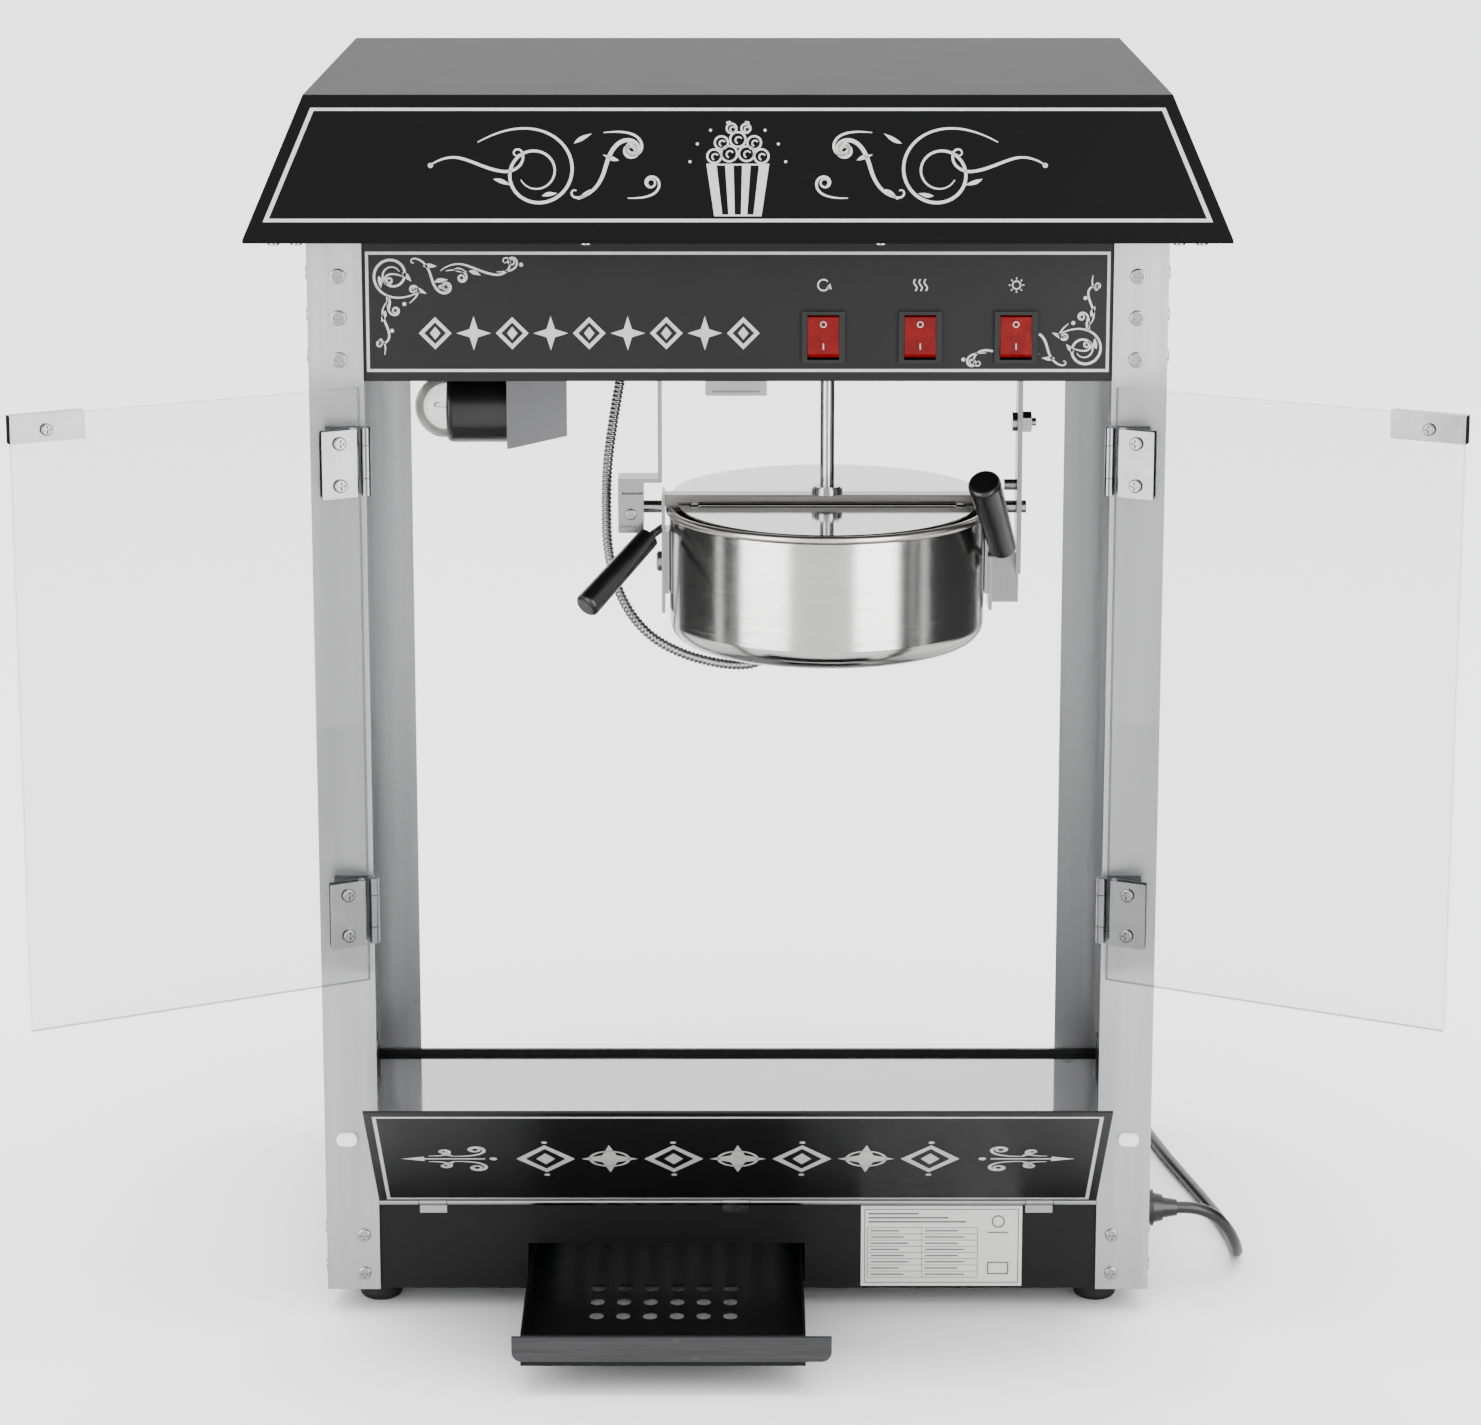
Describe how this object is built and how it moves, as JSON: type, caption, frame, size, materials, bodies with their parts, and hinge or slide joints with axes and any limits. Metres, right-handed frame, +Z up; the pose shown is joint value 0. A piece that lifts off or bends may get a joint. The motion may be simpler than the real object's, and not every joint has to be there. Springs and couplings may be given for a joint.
{
  "type": "popcorn maker",
  "caption": "Countertop popcorn machine: glazed cabinet on rubber feet with hinged glass doors, tilting lidded kettle with stirrer, serving flap, kernel drawer and rocker switches.",
  "frame": {"origin": "on the table, under the middle of the machine with its drawer out", "axes": "+X to the machine's right as seen from the front, -Y to the front, +Z up"},
  "size_m": [0.8188, 0.5949, 0.743],
  "materials": {
    "black_sheet": "satin black powder coat",
    "roof_paint": "satin black powder coat",
    "panel_paint": "satin black powder coat",
    "drawer_paint": "satin grey-black",
    "post_aluminium": "brushed, satin",
    "clear_glass": "clear",
    "tray_steel": "polished",
    "kettle_steel": "brushed, satin",
    "lid_steel": "polished",
    "bracket_steel": "zinc plated",
    "bright_steel": "plated",
    "heater_sheath": "dull, heat tinted",
    "conduit_steel": "corrugated",
    "black_plastic": "fine matt grain",
    "bezel_plastic": "satin gloss",
    "rocker_plastic": "translucent red",
    "white_plastic": "matt",
    "label_film": "printed film",
    "foot_rubber": "matt",
    "cable_pvc": "satin PVC",
    "bulb_glass": "clear"
  },
  "bodies": {
    "cabinet": {"base_front_panel": "black_sheet", "base_side_panels": "black_sheet", "base_rear_panel": "black_sheet", "base_bottom_pan": "black_sheet", "rubber_feet": "foot_rubber", "floor_tray": "tray_steel", "front_posts": "post_aluminium", "rear_posts": "post_aluminium", "side_glasses": "clear_glass", "rear_glass": "clear_glass", "control_panel": "panel_paint", "header_side_panels": "black_sheet", "header_rear_panel": "black_sheet", "ceiling_plate": "black_sheet", "roof": "roof_paint", "case_screws": "bright_steel", "switch_bezels": "bezel_plastic", "gear_motor": "bracket_steel", "lamp_bracket": "bracket_steel", "lamp_socket": "black_plastic", "lamp_bulb": "bulb_glass", "door_catch": "bright_steel", "left_hanger": "bracket_steel", "right_hanger": "bracket_steel", "hanger_bolts": "bright_steel", "door_hinge_leaves": "bright_steel", "hinge_pins": "bright_steel", "flap_hinge_lugs": "bright_steel", "flap_bumpers": "white_plastic", "drawer_runners": "bracket_steel", "rating_label": "label_film", "cable_gland": "black_plastic", "power_cord": "cable_pvc", "cord_coil": "cable_pvc", "power_plug": "black_plastic", "wiring_loom": "cable_pvc", "kettle_conduit": "conduit_steel"},
    "drive": {"drive_shaft": "bright_steel"},
    "kettle": {"kettle_shell": "kettle_steel", "kettle_pan": "kettle_steel", "heating_element": "heater_sheath", "crossbar": "kettle_steel", "rear_lid": "lid_steel", "shaft_bushing": "bright_steel", "pivot_pins": "bright_steel", "kettle_grips": "black_plastic", "kettle_brackets": "bracket_steel"},
    "stirrer": {"agitator": "bracket_steel"},
    "lid": {"front_lid": "lid_steel"},
    "left_door": {"left_door_glass": "clear_glass", "left_door_fittings": "bright_steel"},
    "right_door": {"right_door_glass": "clear_glass", "right_door_fittings": "bright_steel"},
    "flap": {"flap_panel": "black_sheet", "flap_hinge_barrel": "bright_steel"},
    "drawer": {"drawer_pan": "black_sheet", "drawer_front": "drawer_paint"},
    "motor_switch": {"motor_rocker": "rocker_plastic"},
    "heat_switch": {"heat_rocker": "rocker_plastic"},
    "light_switch": {"light_rocker": "rocker_plastic"}
  },
  "joints": [
    {"name": "left_door_hinge", "type": "hinge", "parent": "cabinet", "child": "left_door", "pos_m": [-0.217, -0.13725, 0.4], "axis": [0, 0, -1], "range_deg": [-152, 20]},
    {"name": "right_door_hinge", "type": "hinge", "parent": "cabinet", "child": "right_door", "pos_m": [0.217, -0.13725, 0.4], "axis": [0, 0, 1], "range_deg": [-152, 20]},
    {"name": "flap_hinge", "type": "hinge", "parent": "cabinet", "child": "flap", "pos_m": [0, -0.13225, 0.072], "axis": [1, 0, 0], "range_deg": [-48, 0]},
    {"name": "drawer_slide", "type": "slide", "parent": "cabinet", "child": "drawer", "axis": [0, -1, 0], "range_m": [-0.1295, 0.06]},
    {"name": "kettle_tilt", "type": "hinge", "parent": "cabinet", "child": "kettle", "pos_m": [0.056, 0.04875, 0.466], "axis": [1, 0, 0], "range_deg": [0, 75], "deforming": ["kettle_conduit"]},
    {"name": "front_lid_hinge", "type": "hinge", "parent": "kettle", "child": "lid", "pos_m": [0.056, 0.03925, 0.468], "axis": [-1, 0, 0], "range_deg": [0, 70]},
    {"name": "drive_spin", "type": "hinge", "parent": "cabinet", "child": "drive", "pos_m": [0.056, 0.04875, 0.55], "axis": [0, 0, 1], "continuous": true},
    {"name": "stirrer_spin", "type": "hinge", "parent": "kettle", "child": "stirrer", "pos_m": [0.056, 0.04875, 0.44], "axis": [0, 0, 1], "continuous": true},
    {"name": "motor_switch_rock", "type": "hinge", "parent": "cabinet", "child": "motor_switch", "pos_m": [0.0497, -0.12525, 0.602], "axis": [1, 0, 0], "range_deg": [0, 20]},
    {"name": "heat_switch_rock", "type": "hinge", "parent": "cabinet", "child": "heat_switch", "pos_m": [0.106, -0.12525, 0.602], "axis": [1, 0, 0], "range_deg": [0, 20]},
    {"name": "light_switch_rock", "type": "hinge", "parent": "cabinet", "child": "light_switch", "pos_m": [0.1617, -0.12525, 0.602], "axis": [1, 0, 0], "range_deg": [0, 20]}
  ],
  "couplings": [
    {"joint": "drive_spin", "follows": "stirrer_spin", "ratio": 1}
  ]
}
